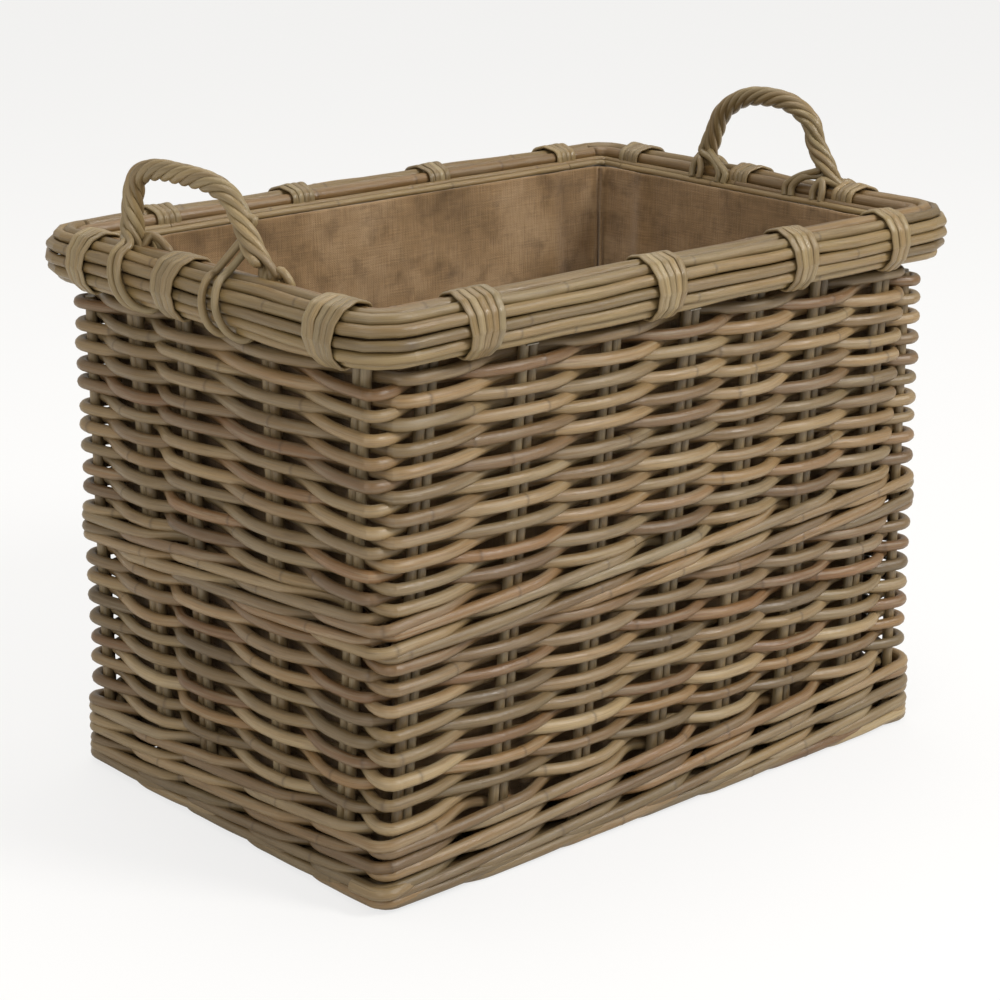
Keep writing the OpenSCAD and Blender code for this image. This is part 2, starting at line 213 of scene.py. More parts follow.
class Bundle:
    """Tubes gathered into one mesh. Every point carries its place in its rod's grain, and its rod's look."""

    def __init__(self):
        self.points, self.grain, self.look = [], [], []
        self.quads, self.caps = [], []
        self.count = 0

    def tube(self, centre, radius, along, look, side, knot=0, sides=12, tall=1.0, closed=False, ahead=None):
        """A tube on the path centre. side is the direction of its section's first axis, tall the share of radius
        that its second axis has, and ahead the path's direction where the neighbouring lengths matter."""
        n = len(centre)
        radius = np.broadcast_to(radius, n)
        knot = np.broadcast_to(knot, n)
        if closed:
            ahead = unit(np.roll(centre, -1, 0) - np.roll(centre, 1, 0))
        elif ahead is None:
            ahead = unit(np.gradient(centre, axis=0))
        side = np.broadcast_to(side, centre.shape)
        side = unit(side - (side * ahead).sum(1)[:, None] * ahead)
        up = np.cross(ahead, side)
        turn = np.arange(sides) / sides * 2 * math.pi
        c, s = np.cos(turn), np.sin(turn)
        ring = side[:, None] * c[None, :, None] + up[:, None] * (tall * s)[None, :, None]
        self.points.append((centre[:, None] + ring * radius[:, None, None]).reshape(-1, 3))
        along = np.broadcast_to(along, n)
        grain = np.stack(np.broadcast_arrays(along[:, None] * MM, c[None], s[None]), 2)
        self.grain.append(grain.reshape(-1, 3))
        tone, shade = look
        looks = np.stack(np.broadcast_arrays(tone, shade, knot[:, None] + 0 * c[None]), 2)
        self.look.append(looks.reshape(-1, 3))
        i = np.arange(n if closed else n - 1)[:, None] * sides
        j = np.arange(sides)[None]
        k = (j + 1) % sides
        m = (i + sides) % (n * sides)
        self.quads.append(np.stack([i + j, i + k, m + k, m + j], 2).reshape(-1, 4) + self.count)
        if not closed:
            ends = np.arange(sides)
            self.caps.append(ends[::-1] + self.count)
            self.caps.append(ends + (n - 1) * sides + self.count)
        self.count += n * sides

    def add(self, other):
        shift = self.count
        self.points += other.points
        self.grain += other.grain
        self.look += other.look
        self.quads += [q + shift for q in other.quads]
        self.caps += [c + shift for c in other.caps]
        self.count += other.count

    def crease_caps(self, mesh):
        """Mark the edges round the cut ends as sharp, so that the skin shades evenly up to them."""
        ring = np.full(self.count, -1)
        for i, cap in enumerate(self.caps):
            ring[cap] = i
        ends = np.empty(len(mesh.edges) * 2, np.int32)
        mesh.edges.foreach_get("vertices", ends)
        a, b = ring[ends.reshape(-1, 2)].T
        layer = mesh.attributes.new("sharp_edge", "BOOLEAN", "EDGE")
        layer.data.foreach_set("value", (a == b) & (a >= 0))

    def mesh(self, name):
        mesh = bpy.data.meshes.new(name)
        points = np.concatenate(self.points) * MM
        quads = np.concatenate(self.quads)
        corners = [quads.ravel()] + list(self.caps)
        sizes = np.concatenate([np.full(len(quads), 4), [len(c) for c in self.caps]]).astype(np.int32)
        corners = np.concatenate(corners).astype(np.int32)
        mesh.vertices.add(len(points))
        mesh.vertices.foreach_set("co", points.ravel().astype(np.float32))
        mesh.loops.add(len(corners))
        mesh.loops.foreach_set("vertex_index", corners)
        mesh.polygons.add(len(sizes))
        mesh.polygons.foreach_set("loop_start", (np.cumsum(sizes) - sizes).astype(np.int32))
        smooth = np.arange(len(sizes)) < len(quads)
        mesh.polygons.foreach_set("use_smooth", smooth)
        mesh.update(calc_edges=True)
        mesh.validate()
        self.crease_caps(mesh)
        for key, values in (("grain", self.grain), ("look", self.look)):
            layer = mesh.attributes.new(key, "FLOAT_VECTOR", "POINT")
            layer.data.foreach_set("vector", np.concatenate(values).ravel().astype(np.float32))
        return mesh


def piece(name, mesh, material, nodes):
    obj = bpy.data.objects.new(name, mesh)
    bpy.context.scene.collection.objects.link(obj)
    mesh.materials.append(material)
    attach(obj, "root")
    if nodes:
        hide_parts(*nodes)
    return obj


def wander(rng, s, size, wave):
    """Smooth random drift along s, about size either way, over about wave millimetres."""
    total = np.zeros(len(s))
    for k in range(4):
        total += np.sin(2 * math.pi * s / (wave * rng.uniform(0.6, 1.8)) + rng.uniform(0, 2 * math.pi))
    return total * size / 2.4


def rod_look(rng):
    return rng.uniform(), rng.uniform()


# A knot on a rod: the places of its points, how far each stands up, and the room it takes
KNOT_AT = np.array([-2.6, -1.1, 0, 1.1, 2.6])
KNOT_RISE = np.array([0, 0.5, 1, 0.5, 0])
KNOT_CLEAR = 2.8


def knots_between(rng, s0, s1, low=110, high=320):
    places = []
    s = s0 + rng.uniform(20, high)
    while s < s1 - 12:
        places.append(s)
        s += rng.uniform(low, high)
    return places


def lay_rod(bundles, track, rng, s0, s1, path, d, step=4.0, swell=0.35):
    """One rod from s0 to s1. path(s) gives its offset and height. It is cut where the track's parts meet,
    and each length goes into the bundle of that part of the wall."""
    look = rod_look(rng)
    places = knots_between(rng, s0, s1)
    s = np.append(np.arange(s0, s1, step), s1)
    for p in places:
        s = np.concatenate([s[np.abs(s - p) > KNOT_CLEAR], p + KNOT_AT])
    s = np.concatenate([s, track.cuts(s0, s1)])
    s = np.unique(np.round(s, 4))
    keep = np.concatenate([[True], np.diff(s) > 0.05])
    s = s[keep]
    u, z = path(s)
    centre, out = track.at(s, u, z)
    radius = d / 2 * (1 + wander(rng, s, 0.03, 160))
    knot = np.zeros(len(s))
    for p in places:
        bump = np.interp(s - p, KNOT_AT, KNOT_RISE, left=0, right=0)
        radius = radius + swell * bump
        knot = np.maximum(knot, bump)
    along = s + rng.uniform(0, 5000)
    ahead = unit(np.gradient(centre, axis=0))
    marks = [0] + [int(np.argmin(np.abs(s - c))) for c in np.sort(track.cuts(s0, s1))] + [len(s) - 1]
    for a, b in zip(marks[:-1], marks[1:]):
        if b <= a:
            continue
        name = track.name_at((s[a] + s[b]) / 2)
        part = slice(a, b + 1)
        bundles[name].tube(centre[part], radius[part], along[part], look, out[part], knot[part], ahead=ahead[part])


def four_sides():
    return {name: Bundle() for name in ("front", "back", "left", "right", "corners")}


# ---------------------------------------------------------------- plain weave


def laps_of(z):
    """The stake pairs at height z, over four laps of the wall, so that a rod may run on past the start."""
    pairs = stakes_at(z)
    return np.concatenate([pairs + n * WALL.length for n in range(-1, 3)])


def ease(f):
    return (1 - np.cos(math.pi * np.clip(f, 0, 1))) / 2


def weave_path(z_row, parity, rng):
    """Offset and height of a row that passes outside every second stake pair and inside the others."""
    reach = laps_of(z_row)
    count = len(reach) // 4
    sign = np.array([1 if k % 2 == parity else -1 for k in range(len(reach))])
    depth = np.tile(WEAVE_OFF * SNUG * rng.uniform(0.95, 1.06, count), 4)
    lift = np.tile(rng.normal(0, 0.8, count), 4)
    hold = np.tile(rng.uniform(5, 10, count), 4)
    phases = rng.uniform(0, 2 * math.pi, 3)

    def path(s):
        j = np.clip(np.searchsorted(reach, s, side="right") - 1, 0, len(reach) - 2)
        wide = reach[j + 1] - reach[j]
        f = ease((s - reach[j] - hold[j]) / (wide - hold[j] - hold[j + 1]))
        u = sign[j] * depth[j] * (1 - f) + sign[j + 1] * depth[j + 1] * f
        z = z_row + lift[j] * (1 - f) + lift[j + 1] * f
        lap_turn = 2 * math.pi * s / WALL.length
        for k, p in enumerate(phases):
            z = z + 0.45 * np.sin((k * 4 + 3) * lap_turn + p)
        return u, z

    return path


def weave_rows(rows, first_parity, seed):
    bundles = four_sides()
    for i, z_row in enumerate(rows):
        rng = np.random.default_rng(seed + i)
        parity = (i + first_parity) % 2
        path = weave_path(z_row, parity, rng)
        pairs = stakes_at(z_row)
        inside = [k for k in range(len(pairs)) if k % 2 != parity]
        joins = np.sort(rng.choice(inside, 2, replace=False))
        starts = pairs[joins]
        ends = np.append(starts[1:], starts[0] + WALL.length)
        for s0, s1 in zip(starts, ends):
            d = ROD_D * rng.uniform(0.9, 1.08)
            lay_rod(bundles, WALL, rng, s0 + 0.5, s1 - 0.5, path, d)
    return bundles


# ---------------------------------------------------------------- waling

# How far in a rod of the waling goes behind a pair
WALE_IN = -9.0
# Where its long stroke starts and ends, in stake pairs
STROKE = (0.42, 2.58)


def blurred(raw, reach=8.0):
    """The path raw with its sudden changes smoothed over about reach millimetres."""
    steps = np.linspace(-1, 1, 5) * reach
    weights = np.array([0.12, 0.24, 0.28, 0.24, 0.12])

    def path(s):
        parts = [raw(s + d) for d in steps]
        return tuple(sum(w * part[k] for w, part in zip(weights, parts)) for k in (0, 1))

    return path


def wale_path(z_mid, climb, weaver, rng, out):
    """A rod that comes out low, rises in one long stroke outside two stake pairs, and goes in high."""
    reach = laps_of(z_mid)
    count = len(reach) // 4
    stage = (np.arange(len(reach)) + weaver) % 3
    jitter = np.tile(rng.normal(0, 0.5, count), 4)
    offs = np.where(stage == 0, WALE_IN, out * rng.uniform(0.97, 1.03)) * np.tile(0.25 + 0.75 * SNUG, 4)
    first, last = STROKE

    def raw(s):
        j = np.clip(np.searchsorted(reach, s, side="right") - 1, 0, len(reach) - 2)
        f = np.clip((s - reach[j]) / (reach[j + 1] - reach[j]), 0, 1)
        q = stage[j] + f
        swing = ease((f - 0.14) / 0.72)
        u = offs[j] * (1 - swing) + offs[j + 1] * swing
        u = u + np.where(stage[j] == 1, 1.3 * np.sin(math.pi * f), 0)
        rise = (q - first) / (last - first) * 2 - 1
        fall = 1 - 2 * ease(((q - last) % 3) / (3 - last + first))
        level = np.where((q >= first) & (q <= last), rise, fall)
        return u, z_mid + climb * level + jitter[j] * (1 - f) + jitter[j + 1] * f

    return blurred(raw)


def wale_round(bundles, z_mid, climb, seed, out):
    """The three rods of one round of waling."""
    for weaver in range(3):
        rng = np.random.default_rng(seed + weaver)
        path = wale_path(z_mid, climb, weaver, rng, out)
        pairs = stakes_at(z_mid)
        inside = [k for k in range(len(pairs)) if (k + weaver) % 3 == 0]
        joins = np.sort(rng.choice(inside, 4, replace=False))
        starts = pairs[joins]
        ends = np.append(starts[1:], starts[0] + WALL.length)
        for s0, s1 in zip(starts, ends):
            d = WALE_D * rng.uniform(1.0, 1.15)
            lay_rod(bundles, WALL, rng, s0 + 0.5, s1 - 0.5, path, d)


def wale_rows(rows, seed, out):
    bundles = four_sides()
    for m in range(len(rows) // 2):
        low, high = rows[2 * m], rows[2 * m + 1]
        wale_round(bundles, (low + high) / 2, (high - low) * 0.78, seed + 10 * m, out)
    return bundles


def foot_rods(seed):
    """The border under the wall. Its strokes come out flat on the floor and rise."""
    parts = four_sides()
    low, high = WALE_D * 0.62, FOOT_TOP + 3
    wale_round(parts, (low + high) / 2, (high - low) / 2, seed, BASE_OFF)
    whole = Bundle()
    for part in parts.values():
        whole.add(part)
    cut_end(whole)
    return whole


def cut_end(bundle):
    """The thick rod that ends just past the near corner, cut square."""
    corner, before, past = WALL.starts[7], 14, 46
    f = np.linspace(0, 1, 24)
    s = np.linspace(corner - before, corner + past, len(f))
    u = BASE_OFF + 4.5 - 9 * ease((f - 0.45) / 0.55)
    height = 17 + 5 * f
    centre, out = WALL.at(s, u, height)
    bundle.tube(centre, 6.0 - 1.5 * f, s, (0.9, 0.9), out)


# ---------------------------------------------------------------- stakes and floor

# The lengthwise sticks of the base, and the rods woven across them
STICKS, STICK_D = 9, 11
FLOOR_RODS, FLOOR_D = 60, 8.5


def stake_line(s_mid, lean, corner, k, z):
    """The line of one stake of a pair, and its outward direction."""
    part = int(np.searchsorted(WALL.ends, s_mid))
    if corner is None:
        run = WALL.runs[part]
        a = s_mid - WALL.middle_of(part)
        a = np.maximum(a + lean * (z - STAKE_MID_Z), -run) + k * STAKE_STEP
        turn = math.radians(WALL.turns[part])
        out = np.array([math.cos(turn), math.sin(turn)])
        place = out * WALL.reach[part] + np.array([-out[1], out[0]]) * a[:, None]
        return np.column_stack([place, z]), np.tile([*out, 0.0], (len(z), 1))
    turn = math.radians(WALL.turns[part] + corner)
    out = np.array([math.cos(turn), math.sin(turn)])
    ahead = np.array([-out[1], out[0]])
    place = WALL.signs[part] * (WALL.half + WEAVE_OFF - BEND_R) + ahead * k * STAKE_STEP
    n = len(z)
    return np.column_stack([np.tile(place, (n, 1)), z]), np.tile([*out, 0.0], (n, 1))


def stake_bundles(seed):
    bundles = four_sides()
    for s_mid, lean, corner, top in PAIRS:
        rng = np.random.default_rng(seed + int(s_mid))
        name = WALL.name_at(s_mid) if top == STAKE_TOP else "corners"
        for k in (-0.5, 0.5):
            z = np.arange(STAKE_FOOT, top, 8.0)
            centre, out = stake_line(s_mid, lean, corner, k, z)
            radius = STAKE_D / 2 * rng.uniform(1.02, 1.14) * (1 + wander(rng, z, 0.02, 120))
            knot = np.zeros(len(z))
            for p in knots_between(rng, z[0], z[-1], 160, 300):
                knot[int(np.argmin(np.abs(z - p)))] = 0.6
            bundles[name].tube(centre, radius, z + rng.uniform(0, 5000), rod_look(rng), out, knot)
    return bundles


def floor_bundle(seed):
    """Rods across the base, each passing over one stick and under the next."""
    bundle = Bundle()
    x0, x1 = span("base_weave_under", 0)[0], span("base_weave_over", 0)[1]
    y0, y1 = span("base_weave_over", 1)
    mid = middle("base_sticks", 2)
    low, high = span("base_sticks", 1)
    gap_y = (high - low - STICK_D) / (STICKS - 1)
    rise = middle("base_weave_over", 2) - mid
    r = FLOOR_D / 2
    for k, x in enumerate(np.linspace(x0 + r, x1 - r, FLOOR_RODS)):
        rng = np.random.default_rng(seed + k)
        y = np.linspace(y0, y1, 90)
        z = mid + (1 if k % 2 else -1) * rise * np.cos(math.pi * y / gap_y)
        centre = np.column_stack([np.full(len(y), x), y, z])
        thick = r * rng.uniform(0.93, 1.0)
        along = y + rng.uniform(0, 5000)
        bundle.tube(centre, thick, along, rod_look(rng), (1.0, 0, 0), sides=10)
    return bundle


# ---------------------------------------------------------------- rim

# The rim's outer rods lie round an ellipse: its middle, its two half widths, and the rods' thickness.
# Every rod is (offset, height, thickness).
RIM_U, RIM_A, RIM_B, RIM_D = 14.1, 16.0, 19.0, 10.4
ROLL_TURNS = np.radians(90 - 31 * np.arange(6))
ROLL = [(RIM_U + RIM_A * math.cos(t), RIM_Z + RIM_B * math.sin(t), RIM_D) for t in ROLL_TURNS]
ROLL[0] = (ROLL[0][0] - 1, ROLL[0][1] - 0.8, 12.2)
CAP = (3.0, RIM_Z + 15.5, 12.5)
LEDGE = (-10.5, RIM_Z + 8, 6.5)
# A thin rod that fills the slot between the ledge and the cap. It isn't seen in the photo, or drawn in the CAD.
PACKING = (-5.2, RIM_Z + 10.4, 7.0)
# The stakes' ends inside the rim, which the bindings go round too
STAKE_ENDS = (0.0, RIM_Z - 12.8, 9.2)
# Bindings on each side: the middle along the walk, and the width
BINDINGS = {
    "front": (FRONT, [(-225, 30), (-32, 28), (124, 24), (242, 20)]),
    "back": (BACK, [(-250, 24), (-90, 24), (69, 24), (214, 24)]),
    "left": (LEFT, [(-155, 22), (-29, 26), (174, 32)]),
    "right": (RIGHT, [(-119, 24), (10, 24), (158, 26)]),
}
# Width of one strip of split cane, and how flat it is
CANE_W = 6.0
CANE_FLAT = 0.46


def binding_places():
    """(distance along the rim, side name, width) of every binding."""
    return [(RIM.middle_of(part) + a, name, w) for name, (part, places) in BINDINGS.items() for a, w in places]


def rim_bundles(seed):
    bundles = four_sides()
    hidden = np.sort([s for s, _, _ in binding_places()])
    for k, (u, z, d) in enumerate(ROLL + [CAP, LEDGE, PACKING]):
        rng = np.random.default_rng(seed + k)
        joins = np.sort(rng.choice(hidden, 4, replace=False)) + rng.uniform(-6, 6)
        ends = np.append(joins[1:], joins[0] + RIM.length)
        phases = rng.uniform(0, 6.28, 6)
        loose = 0.3 if u < 5 else 0.85

        def path(s, u=u, z=z, phases=phases, loose=loose):
            lap = 2 * math.pi * s / RIM.length
            waves = [np.sin(n * lap + p) for n, p in zip((5, 9, 19, 6, 11, 21), phases)]
            sway = 0.6 * waves[0] + 0.5 * waves[1] + 0.35 * waves[2]
            lift = 0.6 * waves[3] + 0.5 * waves[4] + 0.35 * waves[5]
            return u + sway * loose, z + lift * loose

        for s0, s1 in zip(joins, ends):
            thick = d * rng.uniform(0.85, 0.97)
            lay_rod(bundles, RIM, rng, s0 + 0.4, s1 - 0.4, path, thick, step=6.0, swell=0.3)
    return bundles


def hull_loop(offset, count=72):
    """The tight line round the roll, the cap rod and the stakes, offset outward, in (u, z)."""
    circles = [(u, z, d / 2) for u, z, d in ROLL + [CAP, STAKE_ENDS]]
    turn = np.linspace(0, 2 * math.pi, 720, endpoint=False)
    n = np.column_stack([np.cos(turn), np.sin(turn)])
    c = np.array(circles)
    reach = n @ c[:, :2].T + c[:, 2]
    k = reach.argmax(1)
    line = c[k, :2] + n * (c[k, 2] + offset)[:, None]
    line = np.vstack([line, line[:1]])
    run = np.concatenate([[0], np.cumsum(np.linalg.norm(np.diff(line, axis=0), axis=1))])
    want = np.linspace(0, run[-1], count, endpoint=False)
    return np.column_stack([np.interp(want, run, line[:, 0]), np.interp(want, run, line[:, 1])]), want


def lay_binding(bundle, s_mid, width, rng):
    """Split cane wound round the rim in turns that lie side by side and draw together underneath."""
    loop, run = hull_loop(1.5)
    turns = round(width / CANE_W)
    pitch = width / turns
    low, high = loop[:, 1].min(), loop[:, 1].max()
    height = (loop[:, 1] - low) / (high - low)
    outer = np.clip((loop[:, 0] - 2) / 20, 0, 1)
    for k in range(turns):
        a = (k - (turns - 1) / 2) * pitch
        spread = 1 + 0.32 * outer * height - 0.12 * outer * (1 - height)
        slant = rng.uniform(-1.2, 1.2) * (height - 0.5)
        s = s_mid + a * spread + slant
        centre, out = RIM.at(s, loop[:, 0], loop[:, 1])
        ahead = np.column_stack([-out[:, 1], out[:, 0], np.zeros(len(out))])
        radial = unit(loop - np.array([RIM_U - 4, RIM_Z]))
        lift = rng.uniform(-0.1, 0.7) + 0.3 * np.sin(run / 9 + rng.uniform(0, 6))
        centre = centre + (out * radial[:, :1] + np.array([[0, 0, 1.0]]) * radial[:, 1:]) * lift[:, None]
        half = pitch * 0.52 * (1 + 0.2 * outer * height)
        along = run + rng.uniform(0, 5000)
        bundle.tube(centre, half, along, rod_look(rng), ahead, tall=CANE_FLAT, closed=True)


def binding_bundles(seed):
    bundles = {name: Bundle() for name in ("front", "back", "left", "right")}
    for k, (s, name, width) in enumerate(binding_places()):
        lay_binding(bundles[name], s, width, np.random.default_rng(seed + k))
    return bundles


# ---------------------------------------------------------------- handles

# Where the rope stands on the rim, and half the thickness of the CAD handle
HANDLE_U = 6.0
HANDLE_R = 8.5
# The rope's strands, the radius they wind at, and the length of one turn
STRANDS = 6
STRAND_D = 6.7
TWIST_R = 5.7
LAY = 82.0


def smooth_line(knots, count):
    """A Catmull-Rom curve through the knots, resampled to equal steps."""
    p = np.array(knots, float)
    p = np.vstack([2 * p[0] - p[1], p, 2 * p[-1] - p[-2]])
    out = []
    for i in range(1, len(p) - 2):
        t = np.linspace(0, 1, 24, endpoint=False)[:, None]
        a, b, c, d = p[i - 1], p[i], p[i + 1], p[i + 2]
        second, third = 2 * a - 5 * b + 4 * c - d, 3 * b - a - 3 * c + d
        out.append(0.5 * ((2 * b) + (c - a) * t + second * t**2 + third * t**3))
    line = np.vstack(out + [p[-2:-1]])
    run = np.concatenate([[0], np.cumsum(np.linalg.norm(np.diff(line, axis=0), axis=1))])
    want = np.linspace(0, run[-1], count)
    return np.column_stack([np.interp(want, run, line[:, k]) for k in range(line.shape[1])]), want


# The arch from foot to foot, as parts of the half spread and of the rise
ARCHES = {
    "left": [
        *[(-1.0, 0.02), (-0.99, 0.5), (-0.89, 0.83), (-0.63, 0.97), (-0.24, 1.0)],
        *[(0.2, 0.98), (0.5, 0.86), (0.69, 0.58), (0.84, 0.26), (0.98, 0.02)],
    ],
    "right": [
        *[(-1.0, 0.02), (-0.91, 0.24), (-0.76, 0.49), (-0.67, 0.76), (-0.36, 0.96)],
        *[(0.05, 1.0), (0.4, 0.93), (0.71, 0.71), (0.85, 0.42), (1.0, 0.02)],
    ],
}
# Where each strand goes at the two feet: outside over the roll or inside behind the cap rod, how far along it
# lands, how far it drags on from there, and how many of its last points on the arch are dropped
LEFT_FEET = [
    [("out", 16, 26, 8), ("out", 8, 20, 4), ("in", 20, 0, 0), ("in", 30, 0, 0), ("in", 8, 0, 0), ("in", 0, 0, 0)],
    [("out", -30, 20, 18), ("out", -44, 6, 24)]
    + [("in", -24, 0, 8), ("in", -8, 0, 0), ("in", 4, 0, 0), ("in", 12, 0, 0)],
]
RIGHT_FEET = [
    [("out", 2, -12, 6), ("out", -8, -8, 2)]
    + [("in", -2, 0, 0), ("in", 8, 0, 0), ("in", 34, 0, 9), ("in", 42, 0, 12)],
    [("out", 6, 12, 6), ("out", -2, 8, 2)]
    + [("in", 2, 0, 0), ("in", -8, 0, 0), ("in", -32, 0, 9), ("in", -40, 0, 12)],
]


def foot_path(kind, a0, shift_in, drag, start, heading):
    """From a strand's last point on the arch down to the rim, as (along, u, z) points."""
    a_foot = a0 + shift_in
    if kind == "in":
        knots = [
            start,
            start + heading * 7,
            (0.45 * start[0] + 0.55 * a_foot, -3.0, CAP_TOP + 5),
            (a_foot, -7.4, CAP_TOP - 4),
            (a_foot, -9.4, CAP_TOP - 13),
        ]
    else:
        loop, _ = hull_loop(STRAND_D / 2 - 0.2, 240)
        turn = np.degrees(np.arctan2(loop[:, 1] - RIM_Z, loop[:, 0] - RIM_U))
        want = [78, 50, 20, -10, -40, -62, -80]
        knots = [start, start + heading * 7]
        for n, t in enumerate(want):
            i = int(np.argmin(np.abs(turn - t)))
            knots.append((a_foot + drag * (n / (len(want) - 1)) ** 1.4, loop[i, 0], loop[i, 1]))
        knots.append((a_foot + drag * 1.05, 9.0, loop[:, 1].min() + 5))
    return smooth_line(knots, 46)[0]


def twisted(line, run, k):
    """Strand k of the rope along line, as (along, u, z) points. The rope opens a little at its feet."""
    ahead = unit(np.gradient(line, axis=0))
    normal = np.column_stack([-ahead[:, 1], ahead[:, 0]])
    turn = -2 * math.pi * (run / LAY + k / STRANDS) + 0.9
    near_foot = np.exp(-np.minimum(run, run[-1] - run) / 16)
    rho = TWIST_R * (1 + 0.04 * np.sin(run / 17 + k) + 0.3 * near_foot)
    flat = line + normal * (rho * np.cos(turn))[:, None]
    return np.column_stack([flat[:, 0], HANDLE_U + rho * np.sin(turn), flat[:, 1]])


def add_foot(strand, a0, foot):
    """The strand with its last points led down to the rim, for an entry of the tables of feet."""
    kind, shift_in, drag, early = foot
    if early:
        strand = strand[:-early]
    heading = unit(strand[-1] - strand[-4])
    tail = foot_path(kind, a0, shift_in, drag, strand[-1], heading)
    return np.vstack([strand, tail[1:]])


def handle_bundle(side, node, part, feet, seed):
    """A handle of strands twisted round each other, whose ends part at the feet."""
    bundle = Bundle()
    sign = 1 if side == "right" else -1
    low, high = span(node, 1)
    a_mid = sign * (low + high) / 2
    spread = (high - low) / 2 - HANDLE_R
    rise = span(node, 2)[1] - HANDLE_R - CAP_TOP
    arch = [(a_mid + f * spread, CAP_TOP + g * rise) for f, g in ARCHES[side]]
    line, run = smooth_line(arch, 130)
    strands = [twisted(line, run, k) for k in range(STRANDS)]
    # The strands that lie outermost at a foot are the ones that pass outside the rim
    for end, a0 in ((0, a_mid - spread), (1, a_mid + spread)):
        order = sorted(range(STRANDS), key=lambda k: -strands[k][-end][1])
        for place, k in enumerate(order):
            turned = strands[k] if end else strands[k][::-1]
            led = add_foot(turned, a0, feet[end][place])
            strands[k] = led if end else led[::-1]
    for k, strand in enumerate(strands):
        rng = np.random.default_rng(seed + k)
        path, run = smooth_line(strand[::2], 170)
        centre, out = RIM.at(RIM.middle_of(part) + path[:, 0], path[:, 1], path[:, 2])
        radius = STRAND_D / 2 * rng.uniform(0.94, 1.04)
        bundle.tube(centre, radius, run + rng.uniform(0, 5000), rod_look(rng), out)
    return bundle


# ---------------------------------------------------------------- materials


class Nodes:
    """Short way to build a material's node tree."""

    def __init__(self, name):
        self.material = bpy.data.materials.new(name)
        self.material.use_nodes = True
        self.tree = self.material.node_tree
        self.tree.nodes.clear()
        self.output = self.tree.nodes.new("ShaderNodeOutputMaterial")
        self.shader = self.tree.nodes.new("ShaderNodeBsdfPrincipled")
        self.tree.links.new(self.shader.outputs[0], self.output.inputs[0])

    def put(self, socket, value):
        if isinstance(value, bpy.types.NodeSocket):
            self.tree.links.new(value, socket)
        elif value is not None:
            socket.default_value = value

    def node(self, kind, inputs=None, **settings):
        n = self.tree.nodes.new("ShaderNode" + kind)
        for key, value in settings.items():
            setattr(n, key, value)
        for key, value in (inputs or {}).items():
            self.put(n.inputs[key], value)
        return n

    def attribute(self, name):
        return self.node("Attribute", attribute_name=name)

    def math(self, operation, a, b=0.5):
        n = self.node("Math", operation=operation)
        self.put(n.inputs[0], a)
        self.put(n.inputs[1], b)
        return n.outputs[0]

    def noise(self, vector, scale, detail=3.0, roughness=0.5):
        n = self.node("TexNoise", {"Vector": vector, "Scale": scale, "Detail": detail, "Roughness": roughness})
        return n.outputs["Fac"]

    def stretch(self, vector, scale, location=(0, 0, 0)):
        return self.node("Mapping", {"Vector": vector, "Scale": scale, "Location": location}).outputs[0]

    def ramp(self, factor, stops):
        n = self.node("ValToRGB", {"Fac": factor})
        elements = n.color_ramp.elements
        while len(elements) < len(stops):
            elements.new(0.5)
        for e, (place, colour) in zip(elements, stops):
            e.position = place
            e.color = (*colour, 1)
        return n.outputs[0]

    def mix(self, factor, a, b, blend="MIX"):
        n = self.node("Mix", data_type="RGBA", blend_type=blend)
        self.put(n.inputs["Factor"], factor)
        self.put(n.inputs[6], (*a, 1) if isinstance(a, tuple) else a)
        self.put(n.inputs[7], (*b, 1) if isinstance(b, tuple) else b)
        return n.outputs[2]

    def spread(self, value, low, high, to_low=0.0, to_high=1.0):
        limits = {"From Min": low, "From Max": high, "To Min": to_low, "To Max": to_high}
        return self.node("MapRange", {"Value": value, **limits}).outputs[0]

    def bump(self, height, distance, strength):
        n = self.node("Bump", {"Height": height, "Distance": distance, "Strength": strength})
        return n.outputs[0]

    def set(self, **values):
        for key, value in values.items():
            self.put(self.shader.inputs[key.replace("_", " ")], value)
        return self.material


def srgb(r, g, b):
    """The linear colour of a display colour given as 0 to 255."""
    return tuple(((v / 255 + 0.055) / 1.055) ** 2.4 if v > 10 else v / 255 / 12.92 for v in (r, g, b))


